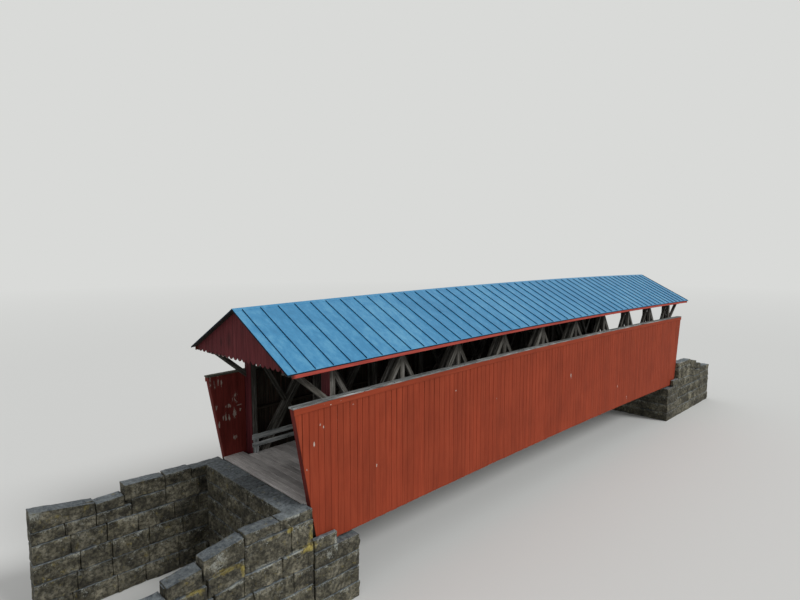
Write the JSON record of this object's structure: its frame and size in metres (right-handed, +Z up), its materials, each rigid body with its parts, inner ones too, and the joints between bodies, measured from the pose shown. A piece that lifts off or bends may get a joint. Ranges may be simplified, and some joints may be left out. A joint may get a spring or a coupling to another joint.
{
  "type": "covered timber truss bridge",
  "caption": "Single-span covered timber bridge with panelled trusses, red board siding, a metal gable roof and stepped stone abutments.",
  "frame": {"origin": "centre of the bounding box at the foot of the abutments", "axes": "+X along the bridge from the near portal to the far one, +Y to the left as one enters, +Z up"},
  "size_m": [39.6, 5.968, 9.0429],
  "materials": {
    "weathered_timber": "rough sawn, weathered",
    "red_boards": "barn paint, weathered",
    "grey_cap": "bare, weathered grey",
    "deck_planks": "worn planks",
    "roof_steel": "standing-seam sheet",
    "cut_stone": "rough cut sandstone with lichen"
  },
  "bodies": {
    "root": {"abutment_far": "cut_stone", "abutment_near": "cut_stone", "bolsters": "weathered_timber", "bottom_chord_left": "weathered_timber", "bottom_chord_right": "weathered_timber", "braces_left": "weathered_timber", "braces_right": "weathered_timber", "cap_left": "grey_cap", "cap_right": "grey_cap", "counters_left": "weathered_timber", "counters_right": "weathered_timber", "deck": "deck_planks", "fascia_left": "red_boards", "fascia_right": "red_boards", "floor_beams": "weathered_timber", "gable_far": "red_boards", "gable_near": "red_boards", "girts_left": "weathered_timber", "girts_right": "weathered_timber", "jambs": "red_boards", "lining_left": "red_boards", "lining_right": "red_boards", "posts_left": "weathered_timber", "posts_right": "weathered_timber", "rafters": "weathered_timber", "rail_left": "weathered_timber", "rail_right": "weathered_timber", "ridge_cap": "roof_steel", "roof_boards_left": "weathered_timber", "roof_boards_right": "weathered_timber", "roof_metal_left": "roof_steel", "roof_metal_right": "roof_steel", "siding_left": "red_boards", "siding_right": "red_boards", "stringers": "weathered_timber", "struts": "weathered_timber", "tie_beams": "weathered_timber", "top_chord_left": "weathered_timber", "top_chord_right": "weathered_timber", "trim_left": "red_boards", "trim_right": "red_boards", "wing_wall_far_left": "cut_stone", "wing_wall_far_right": "cut_stone", "wing_wall_near_left": "cut_stone", "wing_wall_near_right": "cut_stone"}
  },
  "joints": []
}
